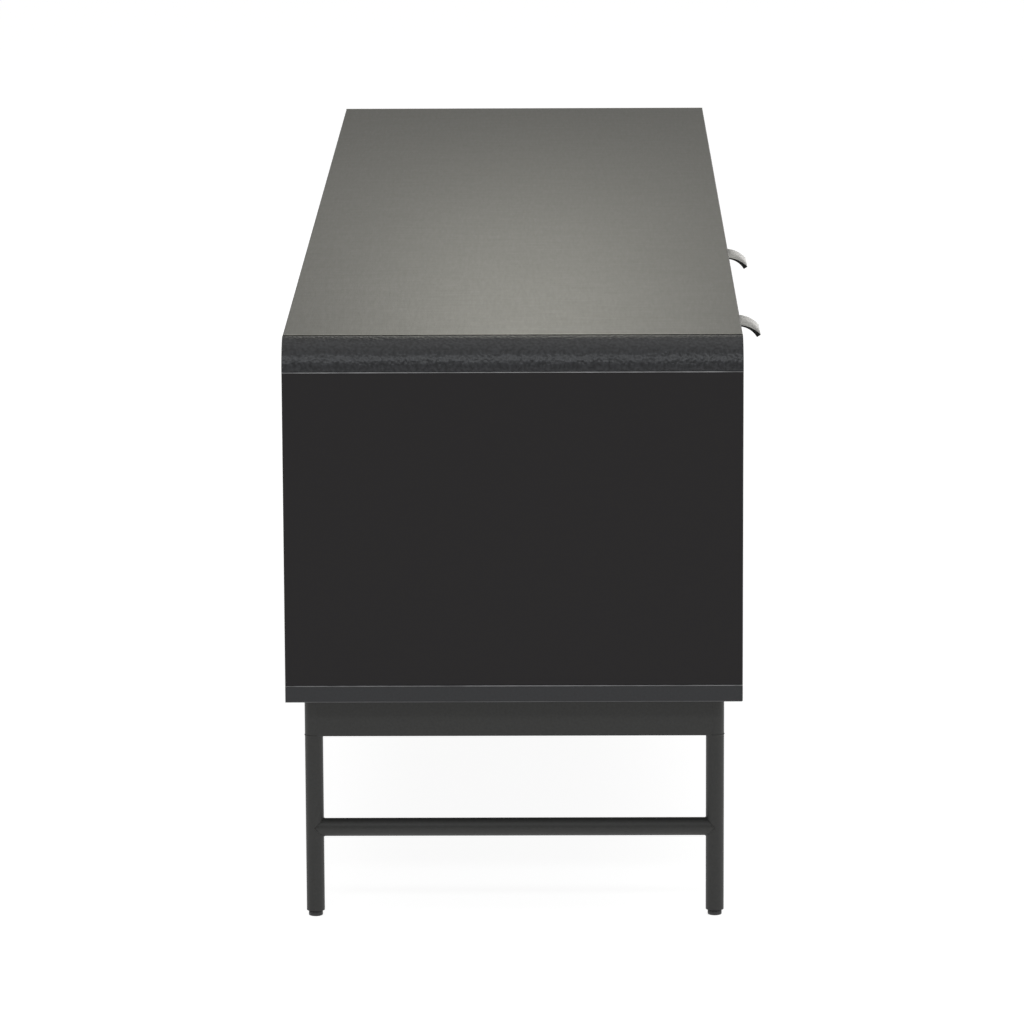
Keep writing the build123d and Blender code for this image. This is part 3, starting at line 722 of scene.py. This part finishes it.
class CABINET_OT_fittings(bpy.types.Operator):
    """Finish the runners and the fasteners"""

    bl_idname = "cabinet.fittings"
    bl_label = "Runners and fasteners"

    def execute(self, context):
        zinc = zinc_finish("zinc_plate", look().zinc)
        loose = ["back_nails", "shelf_pins", "cam_bolts", "frame_screws", "runner_screws", "cam_drums"]
        dress(zinc, *loose, *[f"{name}_screws" for name in DRAWERS])
        chrome = zinc_finish("ball_chrome", tint(look().zinc, 1.3))
        for name in DRAWERS:
            for side in SIDES:
                members = [f"{name}_{side}_{part}_member" for part in ("cabinet", "middle", "drawer")]
                dress(zinc, *members)
                self.make_races(name, side, zinc, chrome)
        beech = beech_finish("dowel_beech", look().beech)
        dress(beech, "dowels", *[f"{name}_dowels" for name in DRAWERS])
        return {"FINISHED"}

    def make_races(self, name, side, zinc, chrome):
        """Cages of balls, at the back outside the middle member and at the front inside it."""
        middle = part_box(f"{name}_{side}_middle_member")
        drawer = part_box(f"{name}_{side}_drawer_member")
        ball = sizes().ball
        half = (middle[1].y - middle[0].y) / 2
        low_x = max(middle[0].x, drawer[0].x)
        high_x = min(middle[1].x, drawer[1].x)
        rows = (
            ("outer", middle, middle[1].y - half, middle[1].y - CAGE_INSET),
            ("inner", drawer, middle[0].y + CAGE_INSET, middle[0].y + half),
        )
        for race, member, start, end in rows:
            cages = bmesh.new()
            balls = bmesh.new()
            for height in (member[0].z - ball - BALL_PLAY, member[1].z + ball + BALL_PLAY):
                centre = Vector(((low_x + high_x) / 2, (start + end) / 2, height))
                size = Matrix.Diagonal((high_x - low_x, end - start, CAGE_THICKNESS, 1))
                bmesh.ops.create_cube(cages, size=1, matrix=Matrix.Translation(centre) @ size)
                for step in range(BALLS):
                    y = start + (end - start) * (step + 0.5) / BALLS
                    place = Matrix.Translation((centre.x, y, height))
                    bmesh.ops.create_icosphere(balls, subdivisions=2, radius=ball, matrix=place)
            bmesh.ops.bevel(
                cages, geom=cages.edges[:], offset=CAGE_EASE, affect="EDGES", segments=1,
                profile=0.5, material=-1,
            )
            body = f"{name}_runners"
            add_piece(f"{name}_{side}_{race}_cage", cages, zinc, body, "runner_steel")
            add_piece(f"{name}_{side}_{race}_balls", balls, chrome, body, "runner_steel")


def add_light(name, place, target, width, depth, power, colour=(1, 1, 1)):
    """A soft rectangular light that faces a target."""
    data = bpy.data.lights.new(name, "AREA")
    data.shape = "RECTANGLE"
    data.size = width
    data.size_y = depth
    data.energy = power
    data.color = colour
    light = bpy.data.objects.new(name, data)
    light.visible_camera = False
    light.location = place
    light.rotation_euler = (Vector(target) - Vector(place)).to_track_quat("-Z", "Y").to_euler()
    bpy.context.scene.collection.objects.link(light)


class CABINET_OT_stage(bpy.types.Operator):
    """Make the floor, the lights and the camera"""

    bl_idname = "cabinet.stage"
    bl_label = "Stage"

    def execute(self, context):
        self.make_floor()
        self.make_lights(context)
        self.make_camera(context)
        context.scene.view_settings.view_transform = "Standard"
        context.scene.view_settings.look = "None"
        return {"FINISHED"}

    def make_floor(self):
        """A pale floor that glows a little, so that it stays plain."""
        bm = bmesh.new()
        bmesh.ops.create_grid(bm, x_segments=1, y_segments=1, size=FLOOR_REACH)
        mesh = bpy.data.meshes.new("floor")
        bm.to_mesh(mesh)
        bm.free()
        floor = bpy.data.objects.new("floor", mesh)
        bpy.context.scene.collection.objects.link(floor)
        paint = Finish("floor_paint")
        paint.shade(
            Base_Color=look().floor, Roughness=0.8, Emission_Color=(1, 1, 1), Emission_Strength=0.9
        )
        mesh.materials.append(paint.material)

    def make_lights(self, context):
        """A dim room with a bright backdrop, and soft lights round the cabinet."""
        world = bpy.data.worlds.new("studio")
        sky = Wiring(world)
        own = sky.tree.nodes["Background"]
        sky.feed(own.inputs["Color"], (1.0, 0.995, 0.97))
        sky.feed(own.inputs["Strength"], 0.27)
        room = Wire(sky, own.outputs["Background"])
        backdrop = sky.node("ShaderNodeBackground")
        seen = sky.node("ShaderNodeLightPath", output="Is Camera Ray")
        sky.show("World Output", sky.node("ShaderNodeMixShader", None, [seen, room, backdrop]))
        context.scene.world = world
        middle = (0, 0, 0.3)
        add_light("overhead", (-0.3, -0.2, 3.2), middle, 4.0, 3.0, 30)
        add_light("far_glow", (1.45, 0.015, 1.48), (-0.7, 0, 0.5), 0.3, 0.25, 2.7, (1.0, 0.98, 0.86))
        add_light("far_wide", (3.6, 0.0, 1.9), (-0.4, 0, 0.5), 3.4, 0.8, 6.8, (1.0, 0.985, 0.90))
        add_light("far_strip", (4.2, -2.2, 0.5), (-0.4, -0.2, 0.5), 3.6, 1.4, 11, (1.0, 0.97, 0.92))
        add_light("near_soft", (-3.9, 0.2, 3.0), (-0.8, 0, 0.45), 2.6, 0.45, 32, (0.94, 0.97, 1.0))
        add_light("front", (-1.5, -4.0, 2.0), middle, 3.0, 2.0, 26)

    def make_camera(self, context):
        """A long lens that looks along the cabinet from its left end."""
        values = sizes()
        data = bpy.data.cameras.new("camera")
        data.sensor_width = SENSOR_WIDTH
        data.lens = values.lens
        camera = bpy.data.objects.new("camera", data)
        place = (CAD_LOW.x - values.camera_distance, values.camera_side, values.camera_height)
        along = Matrix.Rotation(math.radians(-90), 4, "Z") @ Matrix.Rotation(math.radians(90), 4, "X")
        turn = Matrix.Rotation(values.camera_turn, 4, "Z")
        tilt = Matrix.Rotation(values.camera_tilt, 4, "Y")
        roll = Matrix.Rotation(values.camera_roll, 4, "Z")
        camera.matrix_world = Matrix.Translation(place) @ turn @ tilt @ along @ roll
        context.scene.collection.objects.link(camera)
        context.scene.camera = camera


class CABINET_PT_panel(bpy.types.Panel):
    """Lists the makers of the cabinet's pieces"""

    bl_idname = "CABINET_PT_panel"
    bl_label = "Low drawer cabinet"
    bl_space_type = "VIEW_3D"
    bl_region_type = "UI"
    bl_category = "Cabinet"

    def draw(self, context):
        for operator in OPERATORS:
            self.layout.operator(operator.bl_idname)
        for group in (context.scene.cabinet_colours, context.scene.cabinet_sizes):
            for key in group.bl_rna.properties.keys():
                if key not in {"rna_type", "name"}:
                    self.layout.prop(group, key)


OPERATORS = (
    CABINET_OT_boards,
    CABINET_OT_tube_frame,
    CABINET_OT_feet,
    CABINET_OT_pulls,
    CABINET_OT_fittings,
    CABINET_OT_stage,
)
CLASSES = (CabinetColours, CabinetSizes, *OPERATORS, CABINET_PT_panel)


def register():
    for each in CLASSES:
        bpy.utils.register_class(each)
    bpy.types.Scene.cabinet_colours = bpy.props.PointerProperty(type=CabinetColours)
    bpy.types.Scene.cabinet_sizes = bpy.props.PointerProperty(type=CabinetSizes)


def unregister():
    del bpy.types.Scene.cabinet_sizes
    del bpy.types.Scene.cabinet_colours
    for each in reversed(CLASSES):
        bpy.utils.unregister_class(each)


def main():
    register()
    bpy.ops.cabinet.boards()
    bpy.ops.cabinet.tube_frame()
    bpy.ops.cabinet.feet()
    bpy.ops.cabinet.pulls()
    bpy.ops.cabinet.fittings()
    bpy.ops.cabinet.stage()


if __name__ == "__main__":
    main()
